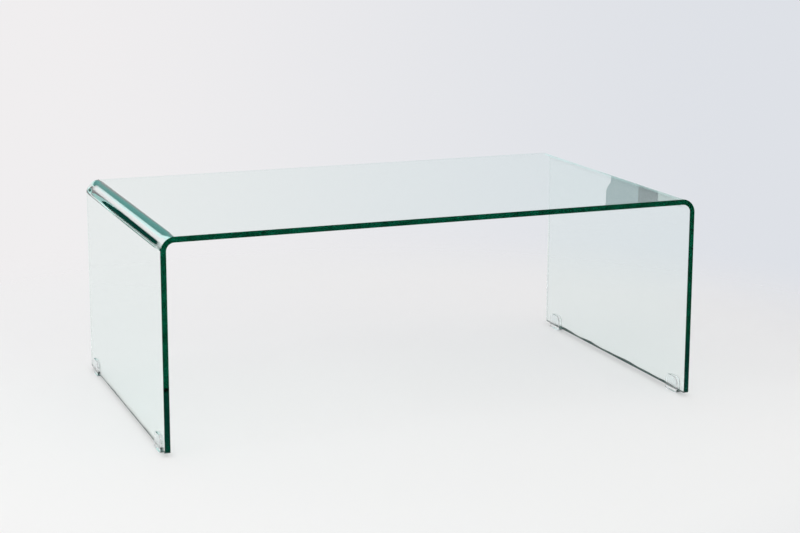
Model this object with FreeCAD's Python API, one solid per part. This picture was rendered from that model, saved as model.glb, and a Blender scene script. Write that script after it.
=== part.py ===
"""Waterfall coffee table: one sheet of bent float glass standing on four clear clip-on feet.

Millimetres, +Z up. The origin is on the floor, under the middle of the table. +X runs along the
length of the table, and -Y is the front.
"""

import FreeCAD, Part
import math
import os

# Driving dimensions of the glass sheet
TABLE_LENGTH = 1200.0  # outside face of one leg panel to that of the other, along X
TABLE_DEPTH = 700.0  # front edge to rear edge, along Y
TABLE_HEIGHT = 450.0  # floor to the tabletop
GLASS_THICKNESS = 12.0
BEND_OUTSIDE_RADIUS = 32.0  # the two bends, in which the sheet is a little thinner
BEND_INSIDE_RADIUS = 16.0
ARRIS = 0.4  # flat ground at 45 degrees along every edge of the sheet
PANEL_CORNER_RADIUS = 3.0  # the four bottom corners of the leg panels

# Driving dimensions of one clip foot
CLIP_LENGTH = 50.0  # along the bottom edge of the glass
CLIP_HEIGHT = 36.0  # floor to the top of the two cheeks
CLIP_CHEEK = 2.5  # wall on each side of the glass
CLIP_WEB = 8.0  # floor to the bottom edge of the glass
CLIP_CHEEK_RADIUS = 14.0  # rounded top corners of the cheeks
CLIP_SOLE_FLAT = 26.0  # length of the flat that stands on the floor
CLIP_END_RISE = 2.5  # how far the sole curves up towards each end
CLIP_EDGE_RADIUS = 0.8  # moulded edge round the outside of the cheeks
CLIP_CLEARANCE = 0.15  # between each cheek and the glass
CLIP_INSET = 28.0  # end of a clip to the nearest vertical edge of its leg panel

SHARP = 0.5  # two faces meet at a sharp edge if the cosine between their normals is below this


def point(x, y, z):
    return FreeCAD.Vector(x, y, z)


def line(start, end):
    return Part.LineSegment(start, end).toShape()


def arc(start, middle, end):
    return Part.Arc(start, middle, end).toShape()


def extruded(edges, direction):
    """The solid swept by a closed flat outline along a straight direction."""
    return Part.Face(Part.Wire(edges)).extrude(direction)


def normal_at(face, place):
    u, v = face.Surface.parameter(place)
    return face.normalAt(u, v)


def sharp_edges(solid):
    """Edges at which two faces meet at an angle, leaving out the seams where they run on smoothly."""
    found = []
    for edge in solid.Edges:
        middle = edge.valueAt((edge.FirstParameter + edge.LastParameter) / 2)
        faces = solid.ancestorsOfType(edge, Part.Face)
        if len(faces) == 2:
            cosine = normal_at(faces[0], middle).dot(normal_at(faces[1], middle))
            if cosine < SHARP:
                found.append(edge)
    return found


def runs_along(edge, axis):
    """True for a straight edge that is parallel to the axis."""
    ends = edge.Vertexes[1].Point - edge.Vertexes[0].Point
    return abs(abs(ends.dot(axis)) - edge.Length) < edge.Length * 1e-6


def glass_outline():
    """Edge view of the sheet in the plane of the front edge: two leg panels, two bends and the top."""
    outside = TABLE_LENGTH / 2
    inside = outside - GLASS_THICKNESS
    underside = TABLE_HEIGHT - GLASS_THICKNESS

    def at(x, z):
        return point(x, -TABLE_DEPTH / 2, z)

    def one_face(panel_x, top_z, radius):
        """One face of the sheet, from the left foot up, over the top and down to the right foot."""
        bend_x = panel_x - radius
        bend_z = top_z - radius
        at_45 = radius * math.sqrt(0.5)
        return [
            line(at(-panel_x, CLIP_WEB), at(-panel_x, bend_z)),
            arc(at(-panel_x, bend_z), at(-bend_x - at_45, bend_z + at_45), at(-bend_x, top_z)),
            line(at(-bend_x, top_z), at(bend_x, top_z)),
            arc(at(bend_x, top_z), at(bend_x + at_45, bend_z + at_45), at(panel_x, bend_z)),
            line(at(panel_x, bend_z), at(panel_x, CLIP_WEB)),
        ]

    outer_face = one_face(outside, TABLE_HEIGHT, BEND_OUTSIDE_RADIUS)
    inner_face = one_face(inside, underside, BEND_INSIDE_RADIUS)
    left_foot = line(at(-inside, CLIP_WEB), at(-outside, CLIP_WEB))
    right_foot = line(at(outside, CLIP_WEB), at(inside, CLIP_WEB))
    inner_face.reverse()
    return outer_face + [right_foot] + inner_face + [left_foot]


def bent_glass():
    """One sheet of glass, bent down at both ends, with its corners rounded and every edge arrised."""
    sheet = extruded(glass_outline(), point(0, TABLE_DEPTH, 0))
    through_the_panel = point(1, 0, 0)
    corners = []
    for edge in sheet.Edges:
        if runs_along(edge, through_the_panel) and edge.BoundBox.ZMax < CLIP_WEB + GLASS_THICKNESS / 2:
            corners.append(edge)
    sheet = sheet.makeFillet(PANEL_CORNER_RADIUS, corners)
    return sheet.makeChamfer(ARRIS, sharp_edges(sheet))


def clip_outline(x):
    """Side view of a clip: a sole with raised ends, and cheeks with rounded top corners."""
    end = CLIP_LENGTH / 2
    flat = CLIP_SOLE_FLAT / 2
    sweep = end - flat
    sole_radius = (sweep * sweep + CLIP_END_RISE * CLIP_END_RISE) / (2 * CLIP_END_RISE)
    half_turn = math.asin(sweep / sole_radius) / 2
    sole_y = flat + sole_radius * math.sin(half_turn)
    sole_z = sole_radius * (1 - math.cos(half_turn))
    corner_y = end - CLIP_CHEEK_RADIUS
    corner_z = CLIP_HEIGHT - CLIP_CHEEK_RADIUS
    corner_45 = CLIP_CHEEK_RADIUS * math.sqrt(0.5)

    def at(y, z):
        return point(x, y, z)

    return [
        line(at(-flat, 0), at(flat, 0)),
        arc(at(flat, 0), at(sole_y, sole_z), at(end, CLIP_END_RISE)),
        line(at(end, CLIP_END_RISE), at(end, corner_z)),
        arc(at(end, corner_z), at(corner_y + corner_45, corner_z + corner_45), at(corner_y, CLIP_HEIGHT)),
        line(at(corner_y, CLIP_HEIGHT), at(-corner_y, CLIP_HEIGHT)),
        arc(at(-corner_y, CLIP_HEIGHT), at(-corner_y - corner_45, corner_z + corner_45), at(-end, corner_z)),
        line(at(-end, corner_z), at(-end, CLIP_END_RISE)),
        arc(at(-end, CLIP_END_RISE), at(-sole_y, sole_z), at(-flat, 0)),
    ]


def foot_clip():
    """One clip foot about its own centre: a web under the glass and a cheek on each side of it."""
    slot_width = GLASS_THICKNESS + 2 * CLIP_CLEARANCE
    width = slot_width + 2 * CLIP_CHEEK
    block = extruded(clip_outline(-width / 2), point(width, 0, 0))
    rims = []
    for edge in sharp_edges(block):
        if not runs_along(edge, point(1, 0, 0)):
            rims.append(edge)
    block = block.makeFillet(CLIP_EDGE_RADIUS, rims)
    slot_corner = point(-slot_width / 2, -CLIP_LENGTH / 2, CLIP_WEB)
    slot = Part.makeBox(slot_width, CLIP_LENGTH, CLIP_HEIGHT, slot_corner)
    return block.cut(slot)


def foot_clips():
    """The four clips by name, each centred on the thickness of its leg panel."""
    panel_x = (TABLE_LENGTH - GLASS_THICKNESS) / 2
    clip_y = TABLE_DEPTH / 2 - CLIP_INSET - CLIP_LENGTH / 2
    clips = {}
    for depth_name, y in (("front", -clip_y), ("rear", clip_y)):
        for side_name, x in (("left", -panel_x), ("right", panel_x)):
            clip = foot_clip()
            clip.translate(point(x, y, 0))
            clips["foot_clip_" + depth_name + "_" + side_name] = clip
    return clips


def main():
    nodes = {"bent_glass": bent_glass()}
    nodes.update(foot_clips())
    os.makedirs("parts", exist_ok=True)
    for name, shape in nodes.items():
        shape.exportStep("parts/" + name + ".step")


main()
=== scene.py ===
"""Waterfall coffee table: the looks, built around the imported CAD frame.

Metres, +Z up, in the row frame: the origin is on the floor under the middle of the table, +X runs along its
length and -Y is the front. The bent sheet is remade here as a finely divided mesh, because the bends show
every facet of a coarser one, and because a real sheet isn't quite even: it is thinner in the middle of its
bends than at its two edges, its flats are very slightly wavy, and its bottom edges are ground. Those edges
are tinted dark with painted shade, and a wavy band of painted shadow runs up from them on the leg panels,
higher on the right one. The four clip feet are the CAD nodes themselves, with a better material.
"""

import math

import bpy
from mathutils import Matrix, Vector


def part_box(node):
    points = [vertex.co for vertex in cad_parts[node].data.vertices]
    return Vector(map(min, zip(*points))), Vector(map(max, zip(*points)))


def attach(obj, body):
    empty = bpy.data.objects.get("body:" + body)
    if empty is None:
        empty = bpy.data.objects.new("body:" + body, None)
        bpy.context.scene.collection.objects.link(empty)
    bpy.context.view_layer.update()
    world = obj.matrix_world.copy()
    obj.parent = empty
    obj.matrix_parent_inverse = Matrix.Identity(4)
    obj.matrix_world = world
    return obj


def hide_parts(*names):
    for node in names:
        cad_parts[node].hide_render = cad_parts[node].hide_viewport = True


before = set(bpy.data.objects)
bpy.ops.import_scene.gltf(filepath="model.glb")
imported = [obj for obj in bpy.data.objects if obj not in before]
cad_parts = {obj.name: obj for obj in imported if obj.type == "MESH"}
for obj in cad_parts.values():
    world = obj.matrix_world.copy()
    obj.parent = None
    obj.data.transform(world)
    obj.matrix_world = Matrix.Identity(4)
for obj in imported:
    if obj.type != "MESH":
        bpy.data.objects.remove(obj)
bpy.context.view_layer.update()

SHEET_LOW, SHEET_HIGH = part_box("bent_glass")
MM = 0.001
QUARTER = math.pi / 2
WHITE = (1, 1, 1, 1)

# The sheet, beside what the frame gives
GLASS_THICKNESS = 12 * MM
ARRIS = 0.4 * MM
PANEL_CORNER_RADIUS = 3 * MM

# The glass
GLASS_IOR = 1.52
BODY_COLOUR = (0.45, 0.82, 0.74, 1)
BODY_DENSITY = 10.0
EDGE_DARK = (0.06, 0.17, 0.14, 1)
EDGE_LIGHT = (0.09, 0.31, 0.27, 1)
STREAK_SCALE = 45.0
STREAK_DETAIL = 4.0
STREAK_SPAN = (0.38, 0.62)  # the noise values between which the edges go from dark to light
GRAIN_SCALE = 1500.0  # of the grain that grinding leaves
GROUND_ROUGHNESS = (0.4, 0.8)
# Painted shade: the dark tint of the ground bottom edges and of the painted shadow band above them
PAINTED_SHADE_TINT = (0.012, 0.06, 0.05, 1)
GROUND_CLOUDINESS = 0.85  # share of the light that a ground edge scatters instead of letting through

# How far a wavy band of painted shadow, ground and tinted dark like the bottom edges, reaches up the faces
# of the leg panels
SHADOW_BAND_SCALE = 7.0
SHADOW_BAND_DETAIL = 1.0
SHADOW_BAND_SPAN = (0.36, 0.62)  # the noise values between which it goes from its least to its most
SHADOW_BAND_LEAST = 0.9 * MM
SHADOW_BAND_MOST = (2.4 * MM, 4.8 * MM)  # on the left and the right leg panel
SHADOW_BAND_BLEND = 0.4 * MM  # height over which the painted shadow band ends

# The clips' plastic
PLASTIC_IOR = 1.49
PLASTIC_ROUGHNESS = (0.03, 0.12)
PLASTIC_CLEAR = (0.99, 0.995, 1.0, 1)
PLASTIC_TINGE = (0.965, 0.98, 0.985, 1)
MOTTLE_SCALE = 260.0
MOTTLE_DETAIL = 3.0
MOTTLE_HEIGHT = 0.03 * MM

# The bends, as (at the sheet's front and rear edges, over the rest of its depth)
BEND_OUTSIDE_RADIUS = (31 * MM, 33 * MM)
BEND_INSIDE_RADIUS = (17 * MM, 14 * MM)
BEND_EASE_RADIUS = (17 * MM, 34 * MM)  # where the inside leaves the leg panel
BEND_EASE_TURN = math.radians(18)
EDGE_ZONE = 45 * MM  # depth over which the bends change from the one to the other

# The waves of the flats: (length along X, along Y and along Z of one wave, or None, and its height)
WAVES = (
    ((210 * MM, None, 260 * MM), 0.010 * MM),
    ((120 * MM, 300 * MM, 150 * MM), 0.005 * MM),
    ((None, 140 * MM, 900 * MM), 0.006 * MM),
)

EDGE_STRIPS = 3  # an arris, the edge itself and another arris

# How finely the sheet is divided
CORNER_STEPS = 8
LEG_STEPS = 14
BEND_STEPS = 72
HALF_TOP_STEPS = 36
DEPTH_STEPS = 56

# The camera, in metres, radians and pixels of the 800-pixel-wide frame
CAMERA_PLACE = (-1.42050, -3.71324, 1.16182)
CAMERA_YAW = 0.3752
CAMERA_PITCH = 0.1935
CAMERA_ROLL = 0.0032
FRAME_WIDTH = 800
FOCAL_PIXELS = 1793.15
SENSOR_WIDTH = 36.0
FRAME_SHIFT = -0.06

# The studio's floor
# Painted light: the floor's colour is brighter on the left and in front and darker behind the table, as the
# studio light falls off
FLOOR_LEFT = (0.965, 0.965, 0.96, 1)
FLOOR_RIGHT = (0.865, 0.865, 0.865, 1)
FLOOR_TURN = (-1.4, 1.3)  # places along X between which the floor goes from the one colour to the other
FLOOR_REAR = (0.945, 0.94, 0.95, 1)  # what is left of its brightness behind the table
FLOOR_HEADING = (0.366, 0.930, 0)  # away from the camera
FLOOR_DEPTH = (-0.55, 0.55)  # places along the heading between which it gets there
FLOOR_ROUGHNESS = 0.8
FLOOR_GLOW = 0.4  # share of the floor's brightness that has no shadow, where it is seen
FLOOR_DROP = 0.2 * MM
FLOOR_FADE = (1.0, 1.8)  # distances from the middle of the table between which the floor fades out

# Its light, and what is seen and reflected behind the table and above it
WORLD_LIGHT = 0.94
# The background is painted light: darker and cooler towards +X, as the studio light falls off
BACKGROUND_LEFT = (0.871, 0.855, 0.863, 1)
BACKGROUND_RIGHT = (0.730, 0.753, 0.799, 1)
BACKGROUND_TURN = (0.15, 0.56)  # sideways part of the direction at which each of the two colours is full
SCREEN_COLOUR = (0.42, 1.12, 1.04, 1)
SCREEN_TURN = (0.80, 0.92)  # rearward part of the direction over which the screen sets in
SCREEN_RISE = (0.215, 0.285)  # upward part of the direction over which the backdrop ends
OVERHEAD_COLOUR = (0.9, 0.9, 0.9, 1)
OVERHEAD_RISE = (0.6, 0.8)
KEY_FROM = (-0.85, -0.1, 0.53)  # the direction in which the lamp stands
KEY_STRENGTH = 0.35
KEY_SPREAD = math.radians(14)
LIGHT_BOUNCES = 96

# Its cards, upright and facing along Y. Each has a name, a place along Y, corners as (x, z), a colour, and
# whether it shows through the glass and in its inner faces too, or only in the outer ones.
REAR_Y = 2.5
FRONT_Y = -0.37
DARK = (0.01, 0.01, 0.01, 1)
SEA_GREEN = (0.03, 0.55, 0.38, 1)
CARDS = (
    (
        "card_left",
        REAR_Y,
        ((-1.25, 0.0), (-5.0, 0.0), (-5.0, 0.76), (-1.25, 0.76)),
        (0.01, 0.14, 0.11, 1),
        False,
    ),
    (
        "card_left_rim",
        REAR_Y,
        ((-1.205, 0.1), (-1.25, 0.1), (-1.25, 0.76), (-1.205, 0.76)),
        (1.2, 1.95, 1.85, 1),
        False,
    ),
    (
        "card_right",
        REAR_Y,
        ((1.925, 0.6), (2.05, 0.6), (2.05, 1.3), (1.90, 1.3), (1.905, 0.99), (1.925, 0.96)),
        (0.18, 0.26, 0.27, 1),
        True,
    ),
    (
        "card_right_dark",
        REAR_Y,
        ((2.05, 0.6), (2.14, 0.6), (2.14, 1.3), (2.05, 1.3)),
        (0.0, 0.02, 0.02, 1),
        True,
    ),
    (
        "card_right_pale",
        REAR_Y,
        ((2.14, 0.6), (2.60, 0.6), (2.60, 1.3), (2.14, 1.3)),
        (0.38, 0.46, 0.44, 1),
        True,
    ),
    (
        "card_front",
        FRONT_Y,
        (
            (-0.602, 0.13),
            (-0.584, 0.13),
            (-0.584, 0.424),
            (0.592, 0.424),
            (0.592, 0.13),
            (0.620, 0.13),
            (0.620, 0.445),
            (-0.602, 0.445),
        ),
        DARK,
        False,
    ),
    (
        "card_front_left",
        FRONT_Y,
        ((-0.602, 0.0), (-0.584, 0.0), (-0.584, 0.13), (-0.602, 0.13)),
        SEA_GREEN,
        False,
    ),
    (
        "card_front_right",
        FRONT_Y,
        ((0.592, 0.0), (0.620, 0.0), (0.620, 0.13), (0.592, 0.13)),
        SEA_GREEN,
        False,
    ),
)


def new_material(name):
    material = bpy.data.materials.new(name)
    material.use_nodes = True
    return material, material.node_tree.nodes, material.node_tree.links


def mix_colours(nodes, links, share, near, far, mode="MIX"):
    """The near colour turning into the far one with a share from 0 to 1. Both may be sockets or colours."""
    mix = nodes.new("ShaderNodeMix")
    mix.data_type = "RGBA"
    mix.blend_type = mode
    for socket, value in ((mix.inputs["Factor"], share), (mix.inputs["A"], near), (mix.inputs["B"], far)):
        if isinstance(value, tuple):
            socket.default_value = value
        else:
            links.new(value, socket)
    return mix.outputs["Result"]


def past(nodes, links, value, span, smooth=True):
    """0 to 1 as a value goes over a span."""
    share = nodes.new("ShaderNodeMapRange")
    if smooth:
        share.interpolation_type = "SMOOTHSTEP"
    share.inputs["From Min"].default_value, share.inputs["From Max"].default_value = span
    links.new(value, share.inputs["Value"])
    return share.outputs["Result"]


def painted_shadow_band(nodes, links, place):
    """1 on a wavy band of painted shadow along the bottom of the leg panels, higher on the right one."""
    split = nodes.new("ShaderNodeSeparateXYZ")
    links.new(place, split.inputs["Vector"])
    level = nodes.new("ShaderNodeCombineXYZ")
    links.new(split.outputs["X"], level.inputs["X"])
    links.new(split.outputs["Y"], level.inputs["Y"])
    band_waver = nodes.new("ShaderNodeTexNoise")
    band_waver.inputs["Scale"].default_value = SHADOW_BAND_SCALE
    band_waver.inputs["Detail"].default_value = SHADOW_BAND_DETAIL
    links.new(level.outputs["Vector"], band_waver.inputs["Vector"])
    most = nodes.new("ShaderNodeMapRange")
    most.inputs["From Min"].default_value = SHEET_LOW.x
    most.inputs["From Max"].default_value = SHEET_HIGH.x
    most.inputs["To Min"].default_value, most.inputs["To Max"].default_value = SHADOW_BAND_MOST
    links.new(split.outputs["X"], most.inputs["Value"])
    reach = nodes.new("ShaderNodeMapRange")
    reach.inputs["From Min"].default_value, reach.inputs["From Max"].default_value = SHADOW_BAND_SPAN
    reach.inputs["To Min"].default_value = SHADOW_BAND_LEAST
    links.new(most.outputs["Result"], reach.inputs["To Max"])
    links.new(band_waver.outputs["Fac"], reach.inputs["Value"])
    below = nodes.new("ShaderNodeMath")
    below.operation = "SUBTRACT"
    links.new(reach.outputs["Result"], below.inputs[0])
    links.new(split.outputs["Z"], below.inputs[1])
    start = -SHEET_LOW.z
    return past(nodes, links, below.outputs["Value"], (start, start + SHADOW_BAND_BLEND), False)


def glass_material():
    """Clear glass with a faint green body. Its cut edges are darker, and the bottom ones are left ground and
    tinted dark with painted shade, as is a wavy band of painted shadow along the bottom of the leg panels.
    """
    material, nodes, links = new_material("clear_float_glass")
    shader = nodes["Principled BSDF"]
    shader.inputs["IOR"].default_value = GLASS_IOR
    place = nodes.new("ShaderNodeTexCoord").outputs["Object"]
    cut = nodes.new("ShaderNodeAttribute")
    cut.attribute_name = "cut_edge"
    streaks = nodes.new("ShaderNodeTexNoise")
    streaks.inputs["Scale"].default_value = STREAK_SCALE
    streaks.inputs["Detail"].default_value = STREAK_DETAIL
    links.new(place, streaks.inputs["Vector"])
    lightness = past(nodes, links, streaks.outputs["Fac"], STREAK_SPAN)
    edge = mix_colours(nodes, links, lightness, EDGE_DARK, EDGE_LIGHT)
    tint = mix_colours(nodes, links, cut.outputs["Fac"], WHITE, edge)
    bottom = nodes.new("ShaderNodeAttribute")
    bottom.attribute_name = "ground_shaded_edge"
    both = nodes.new("ShaderNodeMath")
    both.operation = "MAXIMUM"
    links.new(bottom.outputs["Fac"], both.inputs[0])
    links.new(painted_shadow_band(nodes, links, place), both.inputs[1])
    ground_with_painted_shade = both.outputs["Value"]
    # Painted shade: the ground bottom edges and the painted shadow band are tinted dark
    links.new(mix_colours(nodes, links, ground_with_painted_shade, tint, PAINTED_SHADE_TINT), shader.inputs["Base Color"])
    grain = nodes.new("ShaderNodeTexNoise")
    grain.inputs["Scale"].default_value = GRAIN_SCALE
    links.new(place, grain.inputs["Vector"])
    coarseness = nodes.new("ShaderNodeMapRange")
    coarseness.inputs["To Min"].default_value, coarseness.inputs["To Max"].default_value = GROUND_ROUGHNESS
    links.new(grain.outputs["Fac"], coarseness.inputs["Value"])
    polish = nodes.new("ShaderNodeMath")
    polish.operation = "MULTIPLY"
    links.new(ground_with_painted_shade, polish.inputs[0])
    links.new(coarseness.outputs["Result"], polish.inputs[1])
    links.new(polish.outputs["Value"], shader.inputs["Roughness"])
    clearness = nodes.new("ShaderNodeMath")
    clearness.operation = "MULTIPLY_ADD"
    clearness.inputs[1].default_value = -GROUND_CLOUDINESS
    clearness.inputs[2].default_value = 1.0
    links.new(ground_with_painted_shade, clearness.inputs[0])
    links.new(clearness.outputs["Value"], shader.inputs["Transmission Weight"])
    body = nodes.new("ShaderNodeVolumeAbsorption")
    body.inputs["Color"].default_value = BODY_COLOUR
    body.inputs["Density"].default_value = BODY_DENSITY
    links.new(body.outputs["Volume"], nodes["Material Output"].inputs["Volume"])
    return material


def plastic_material():
    """Clear moulded plastic: glossy, with the faint mottle that a mould leaves on it."""
    material, nodes, links = new_material("clear_moulded_plastic")
    shader = nodes["Principled BSDF"]
    shader.inputs["IOR"].default_value = PLASTIC_IOR
    shader.inputs["Transmission Weight"].default_value = 1.0
    place = nodes.new("ShaderNodeTexCoord").outputs["Object"]
    mottle = nodes.new("ShaderNodeTexNoise")
    mottle.inputs["Scale"].default_value = MOTTLE_SCALE
    mottle.inputs["Detail"].default_value = MOTTLE_DETAIL
    links.new(place, mottle.inputs["Vector"])
    polish = nodes.new("ShaderNodeMapRange")
    polish.inputs["To Min"].default_value, polish.inputs["To Max"].default_value = PLASTIC_ROUGHNESS
    links.new(mottle.outputs["Fac"], polish.inputs["Value"])
    links.new(polish.outputs["Result"], shader.inputs["Roughness"])
    tint = mix_colours(nodes, links, mottle.outputs["Fac"], PLASTIC_CLEAR, PLASTIC_TINGE)
    links.new(tint, shader.inputs["Base Color"])
    relief = nodes.new("ShaderNodeBump")
    relief.inputs["Distance"].default_value = MOTTLE_HEIGHT
    links.new(mottle.outputs["Fac"], relief.inputs["Height"])
    links.new(relief.outputs["Normal"], shader.inputs["Normal"])
    return material


def mixed(pair, share):
    """The first value of a pair turning into the second with a share from 0 to 1."""
    return pair[0] + (pair[1] - pair[0]) * share


def middle_share(y):
    """0 at the sheet's front and rear edges, rising smoothly to 1 past the edge zone."""
    share = min(1.0, max(0.0, (SHEET_HIGH.y - abs(y)) / EDGE_ZONE))
    return share * share * (3 - 2 * share)


def eased_arc(turn, radius, ease_radius):
    """How far an arc has gone across and up after a turn, its first stretch having a radius of its own."""
    eased = min(turn, BEND_EASE_TURN)
    across = ease_radius * (1 - math.cos(eased)) + radius * (math.cos(eased) - math.cos(turn))
    up = ease_radius * math.sin(eased) + radius * (math.sin(turn) - math.sin(eased))
    return across, up


def face_place(row, y, inside):
    """A point of the sheet's outer or inner face in the left half of the table.

    A row is (turn, share): the angle turned in the bend, and how far along the leg panel or half of the top.
    """
    share = middle_share(y)
    if inside:
        offset = GLASS_THICKNESS
        radius = mixed(BEND_INSIDE_RADIUS, share)
        ease_radius = mixed(BEND_EASE_RADIUS, share)
    else:
        offset = 0.0
        radius = ease_radius = mixed(BEND_OUTSIDE_RADIUS, share)
    turn, along = row
    across, up = eased_arc(turn, radius, ease_radius)
    bend_start = SHEET_HIGH.z - offset - eased_arc(QUARTER, radius, ease_radius)[1]
    corner_end = SHEET_LOW.z + PANEL_CORNER_RADIUS
    x = SHEET_LOW.x + offset + across
    z = bend_start + up
    if turn == 0:
        z = corner_end + (bend_start - corner_end) * along
    elif turn == QUARTER:
        x = x * (1 - along)
    return Vector((x, y, z))


def wave(place):
    """How far the flats' waves push a point inwards, and the slope of that along X, Y and Z."""
    depth = 0.0
    slope = Vector((0, 0, 0))
    for lengths, height in WAVES:
        numbers = Vector([2 * math.pi / length if length else 0.0 for length in lengths])
        phase = numbers.dot(place)
        depth += height * (1 + math.sin(phase)) / 2
        slope += numbers * (height * math.cos(phase) / 2)
    return depth, slope


def face_point(row, y, inside, side):
    """A point of one face with its waves, and the normal there on the side of the outer face."""
    place = face_place(row, y, inside)
    ahead = face_place(row, y + MM / 2, inside)
    behind = face_place(row, y - MM / 2, inside)
    lean = (ahead - behind) / MM
    out = Vector((-math.cos(row[0]), 0, math.sin(row[0])))
    if side > 0:
        place.x = -place.x
        lean.x = -lean.x
        out.x = -out.x
    depth, slope = wave(place)
    normal = out - Vector((0, out.dot(lean), 0)) + slope - out * slope.dot(out)
    return place - out * depth, normal.normalized(), out


def sheet_ring(row, corner, side):
    """One row round the sheet: its points, and for each strip between two of them the normals at both.

    It runs over the outer face to the rear, round the rear edge, back over the inner face and round the front
    edge. The corner is the angle turned round a bottom corner, a quarter turn where the row is clear of them.
    """
    radius = PANEL_CORNER_RADIUS
    edge_y = SHEET_HIGH.y - radius + radius * math.sin(corner)
    face_y = SHEET_HIGH.y - radius + (radius - ARRIS) * math.sin(corner)
    edge_up = Vector((0, 0, -radius * math.cos(corner)))
    face_up = Vector((0, 0, -(radius - ARRIS) * math.cos(corner)))
    rear_out = Vector((0, math.sin(corner), -math.cos(corner)))
    front_out = Vector((0, -math.sin(corner), -math.cos(corner)))

    outer = []
    inner = []
    for step in range(DEPTH_STEPS + 1):
        y = face_y * (2 * step / DEPTH_STEPS - 1)
        outer.append(face_point(row, y, False, side))
        inner.append(face_point(row, y, True, side))

    def rim(point, sign, y):
        place, _, out = point
        return Vector((place.x, y, place.z)) + out * ARRIS * sign + edge_up

    points = [place + face_up for place, _, _ in outer]
    points.append(rim(outer[-1], -1, edge_y))
    points.append(rim(inner[-1], 1, edge_y))
    points.extend(place + face_up for place, _, _ in reversed(inner))
    points.append(rim(inner[0], 1, -edge_y))
    points.append(rim(outer[0], -1, -edge_y))

    def bevel(edge_out, normal):
        between = (edge_out + normal).normalized()
        return between, between

    strips = []
    for near, far in zip(outer, outer[1:]):
        strips.append((near[1], far[1]))
    strips.append(bevel(rear_out, outer[-1][1]))
    strips.append((rear_out, rear_out))
    strips.append(bevel(rear_out, -inner[-1][1]))
    for near, far in zip(inner[::-1], inner[-2::-1]):
        strips.append((-near[1], -far[1]))
    strips.append(bevel(front_out, -inner[0][1]))
    strips.append((front_out, front_out))
    strips.append(bevel(front_out, outer[0][1]))
    return points, strips


def sheet_rings():
    """Every row, from the left foot up, over and down to the right foot."""
    rows = []
    for step in range(CORNER_STEPS + 1):
        rows.append(((0, 0), QUARTER * step / CORNER_STEPS))
    for step in range(1, LEG_STEPS):
        rows.append(((0, step / LEG_STEPS), QUARTER))
    for step in range(BEND_STEPS):
        rows.append(((QUARTER * step / BEND_STEPS, 1), QUARTER))
    for step in range(HALF_TOP_STEPS + 1):
        rows.append(((QUARTER, step / HALF_TOP_STEPS), QUARTER))
    rings = [sheet_ring(row, corner, -1) for row, corner in rows]
    rings.extend(sheet_ring(row, corner, 1) for row, corner in reversed(rows[:-1]))
    return rings


def close_foot(ring, points, faces, normals, start, right):
    """The bottom edge of a leg panel: an arris, the edge and another arris, divided as the faces are."""
    ring_points, strips = ring
    columns = DEPTH_STEPS + 1
    around = len(ring_points)
    outer = list(range(start, start + columns))
    inner = list(range(start + 2 * columns + 1, start + columns + 1, -1))
    lines = [outer]
    for first, last, face in ((around - 1, columns, outer), (around - 2, columns + 1, inner)):
        line = [start + first]
        rim = ring_points[first]
        for step in range(1, columns - 1):
            line.append(len(points))
            points.append(Vector((rim.x, points[face[step]].y, rim.z)))
        line.append(start + last)
        lines.append(line)
    lines.append(inner)
    down = Vector((0, 0, -1))
    inner_normal = strips[columns + EDGE_STRIPS][0]
    outs = (down + strips[0][0]).normalized(), down, (down + inner_normal).normalized()
    for near, far, out in zip(lines, lines[1:], outs):
        for step in range(columns - 1):
            face = [near[step], near[step + 1], far[step + 1], far[step]]
            if right:
                face.reverse()
            faces.append(face)
            normals.extend([out] * len(face))


def build_glass():
    """The bent sheet as one closed mesh, shown in place of the CAD node."""
    rings = sheet_rings()
    points = []
    for ring_points, _ in rings:
        points.extend(ring_points)
    faces = []
    normals = []
    around = len(rings[0][0])
    rear_edge = set(range(DEPTH_STEPS, DEPTH_STEPS + EDGE_STRIPS))
    front_edge = set(range(around - EDGE_STRIPS, around))
    for k in range(len(rings) - 1):
        for j in range(around):
            a = k * around + j
            b = k * around + (j + 1) % around
            faces.append((a, a + around, b + around, b))
            near, near_next = rings[k][1][j]
            far, far_next = rings[k + 1][1][j]
            normals.extend((near, far, far_next, near_next))
    close_foot(rings[0], points, faces, normals, 0, False)
    close_foot(rings[-1], points, faces, normals, (len(rings) - 1) * around, True)
    mesh = bpy.data.meshes.new("bent_glass_sheet")
    mesh.from_pydata(points, [], faces)
    mesh.validate()
    mesh.polygons.foreach_set("use_smooth", [True] * len(mesh.polygons))
    mesh.normals_split_custom_set(normals)
    foot_start = (len(rings) - 1) * around
    # The bottom faces of the feet: ground, and tinted dark with painted shade
    ground_with_painted_shade = mesh.attributes.new("ground_shaded_edge", "FLOAT", "FACE")
    ground_with_painted_shade.data.foreach_set("value", [float(k >= foot_start) for k in range(len(faces))])
    cut_strips = rear_edge | front_edge
    is_cut = [k >= foot_start or k % around in cut_strips for k in range(len(faces))]
    cut = mesh.attributes.new("cut_edge", "FLOAT", "FACE")
    cut.data.foreach_set("value", [float(value) for value in is_cut])
    mesh.materials.append(glass_material())
    sheet = bpy.data.objects.new("bent_glass_sheet", mesh)
    bpy.context.scene.collection.objects.link(sheet)
    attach(sheet, "root")
    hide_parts("bent_glass")


def dress_clips():
    """The clips are the CAD nodes, in a material of their own."""
    plastic = plastic_material()
    for name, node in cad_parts.items():
        if name.startswith("foot_clip"):
            node.data.materials.clear()
            node.data.materials.append(plastic)


def stage_mesh(name, points, material):
    """One flat face of the studio, which isn't part of the object."""
    mesh = bpy.data.meshes.new(name)
    mesh.from_pydata(points, [], [tuple(range(len(points)))])
    mesh.materials.append(material)
    piece = bpy.data.objects.new(name, mesh)
    bpy.context.scene.collection.objects.link(piece)
    return piece


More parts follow.
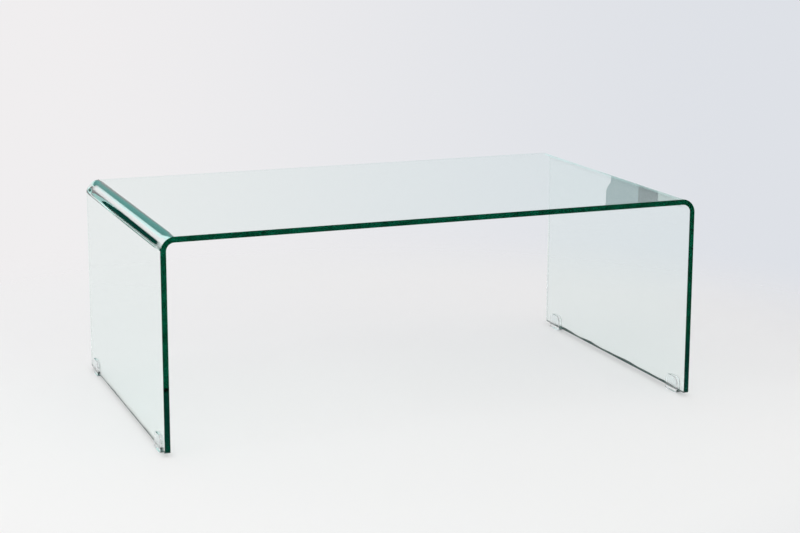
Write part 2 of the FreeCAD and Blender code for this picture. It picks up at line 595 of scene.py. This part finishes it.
def seen_directly(nodes, links):
    """1 where the camera sees a thing itself, in a reflection or through glass, and 0 for its light."""
    path = nodes.new("ShaderNodeLightPath")
    seen = path.outputs["Is Camera Ray"]
    for kind in ("Is Glossy Ray", "Is Transmission Ray"):
        larger = nodes.new("ShaderNodeMath")
        larger.operation = "MAXIMUM"
        links.new(seen, larger.inputs[0])
        links.new(path.outputs[kind], larger.inputs[1])
        seen = larger.outputs["Value"]
    return seen


def floor_material():
    """Pale paper with painted light: brighter in front and on the left, and darker behind the table. It fades
    out all round into the background.
    """
    material, nodes, links = new_material("studio_floor")
    shader = nodes["Principled BSDF"]
    shader.inputs["Roughness"].default_value = FLOOR_ROUGHNESS
    shader.inputs["Specular IOR Level"].default_value = 0.0
    place = nodes.new("ShaderNodeNewGeometry").outputs["Position"]
    split = nodes.new("ShaderNodeSeparateXYZ")
    links.new(place, split.inputs["Vector"])
    depth = nodes.new("ShaderNodeVectorMath")
    depth.operation = "DOT_PRODUCT"
    depth.inputs[1].default_value = FLOOR_HEADING
    links.new(place, depth.inputs[0])
    # Painted light: brighter on the left and in front, darker behind the table
    across = past(nodes, links, split.outputs["X"], FLOOR_TURN, False)
    painted_light_paper = mix_colours(nodes, links, across, FLOOR_LEFT, FLOOR_RIGHT)
    behind = past(nodes, links, depth.outputs["Value"], FLOOR_DEPTH)
    tone = mix_colours(nodes, links, behind, painted_light_paper, FLOOR_REAR, "MULTIPLY")
    links.new(tone, shader.inputs["Base Color"])
    glow = nodes.new("ShaderNodeEmission")
    glow.inputs["Strength"].default_value = WORLD_LIGHT
    links.new(tone, glow.inputs["Color"])
    glow_share = nodes.new("ShaderNodeMath")
    glow_share.operation = "MULTIPLY"
    glow_share.inputs[1].default_value = FLOOR_GLOW
    links.new(seen_directly(nodes, links), glow_share.inputs[0])
    surface = nodes.new("ShaderNodeMixShader")
    links.new(glow_share.outputs["Value"], surface.inputs["Fac"])
    links.new(shader.outputs["BSDF"], surface.inputs[1])
    links.new(glow.outputs["Emission"], surface.inputs[2])
    reach = nodes.new("ShaderNodeVectorMath")
    reach.operation = "LENGTH"
    links.new(place, reach.inputs[0])
    clear = nodes.new("ShaderNodeBsdfTransparent")
    blend = nodes.new("ShaderNodeMixShader")
    links.new(past(nodes, links, reach.outputs["Value"], FLOOR_FADE), blend.inputs["Fac"])
    links.new(surface.outputs["Shader"], blend.inputs[1])
    links.new(clear.outputs["BSDF"], blend.inputs[2])
    links.new(blend.outputs["Shader"], nodes["Material Output"].inputs["Surface"])
    return material


def build_floor():
    low = -FLOOR_DROP
    reach = FLOOR_FADE[1]
    corners = [(-reach, -reach, low), (reach, -reach, low), (reach, reach, low), (-reach, reach, low)]
    stage_mesh("studio_floor", corners, floor_material())


def card_material(name, colour):
    material, nodes, links = new_material(name)
    nodes.remove(nodes["Principled BSDF"])
    lit = nodes.new("ShaderNodeEmission")
    lit.inputs["Color"].default_value = colour
    links.new(lit.outputs["Emission"], nodes["Material Output"].inputs["Surface"])
    return material


def build_cards():
    """Cards that show only in the table: they give it its dark lines and patches, as in a real studio."""
    for name, y, corners, colour, inner in CARDS:
        card = stage_mesh(name, [(x, y, z) for x, z in corners], card_material(name, colour))
        card.visible_camera = False
        card.visible_diffuse = False
        card.visible_transmission = inner
        card.visible_shadow = False
        card.visible_volume_scatter = False


def build_world():
    """Even soft light from all round, and behind it what is seen: a pale background, darker and cooler
    towards
    +X with painted light.

    In reflections alone, the rear of the studio is teal above the backdrop, and overhead it is pale again.
    """
    world = bpy.data.worlds.new("studio")
    world.use_nodes = True
    nodes = world.node_tree.nodes
    links = world.node_tree.links
    light = nodes["Background"]
    light.inputs["Color"].default_value = WHITE
    light.inputs["Strength"].default_value = WORLD_LIGHT
    direction = nodes.new("ShaderNodeTexCoord")
    split = nodes.new("ShaderNodeSeparateXYZ")
    links.new(direction.outputs["Generated"], split.inputs["Vector"])
    path = nodes.new("ShaderNodeLightPath")

    def turning(axis, span, near, far):
        return mix_colours(nodes, links, past(nodes, links, split.outputs[axis], span), near, far)

    # Painted light: the backdrop darkens and cools towards +X
    backdrop = turning("X", BACKGROUND_TURN, BACKGROUND_LEFT, BACKGROUND_RIGHT)
    screen = turning("Y", SCREEN_TURN, backdrop, SCREEN_COLOUR)
    above = turning("Z", OVERHEAD_RISE, screen, OVERHEAD_COLOUR)
    reflected = turning("Z", SCREEN_RISE, backdrop, above)
    seen = nodes.new("ShaderNodeBackground")
    colour = mix_colours(nodes, links, path.outputs["Is Glossy Ray"], backdrop, reflected)
    links.new(colour, seen.inputs["Color"])
    blend = nodes.new("ShaderNodeMixShader")
    links.new(seen_directly(nodes, links), blend.inputs["Fac"])
    links.new(light.outputs["Background"], blend.inputs[1])
    links.new(seen.outputs["Background"], blend.inputs[2])
    links.new(blend.outputs["Shader"], nodes["World Output"].inputs["Surface"])
    bpy.context.scene.world = world


def build_key():
    """A broad soft lamp, up on the left of the table and a little in front of it."""
    lamp = bpy.data.lights.new("key", "SUN")
    lamp.energy = KEY_STRENGTH
    lamp.angle = KEY_SPREAD
    key = bpy.data.objects.new("key", lamp)
    key.rotation_euler = (-Vector(KEY_FROM)).to_track_quat("-Z", "Y").to_euler()
    key.visible_glossy = False
    bpy.context.scene.collection.objects.link(key)


def build_camera():
    """The photo's own view."""
    data = bpy.data.cameras.new("photo_view")
    data.sensor_width = SENSOR_WIDTH
    data.lens = FOCAL_PIXELS * SENSOR_WIDTH / FRAME_WIDTH
    data.shift_y = FRAME_SHIFT
    camera = bpy.data.objects.new("photo_view", data)
    heading = Matrix.Rotation(-CAMERA_YAW, 4, "Z")
    tilt = Matrix.Rotation(math.pi / 2 - CAMERA_PITCH, 4, "X")
    roll = Matrix.Rotation(CAMERA_ROLL, 4, "Z")
    camera.matrix_world = Matrix.Translation(CAMERA_PLACE) @ heading @ tilt @ roll
    bpy.context.scene.collection.objects.link(camera)
    bpy.context.scene.camera = camera


def set_up_render():
    """Plain colours, and enough bounces for light that runs along inside the sheet."""
    scene = bpy.context.scene
    scene.view_settings.view_transform = "Standard"
    scene.cycles.blur_glossy = 0.0
    scene.cycles.max_bounces = LIGHT_BOUNCES
    scene.cycles.transmission_bounces = LIGHT_BOUNCES
    scene.cycles.glossy_bounces = LIGHT_BOUNCES


build_glass()
dress_clips()
build_floor()
build_cards()
build_world()
build_key()
build_camera()
set_up_render()
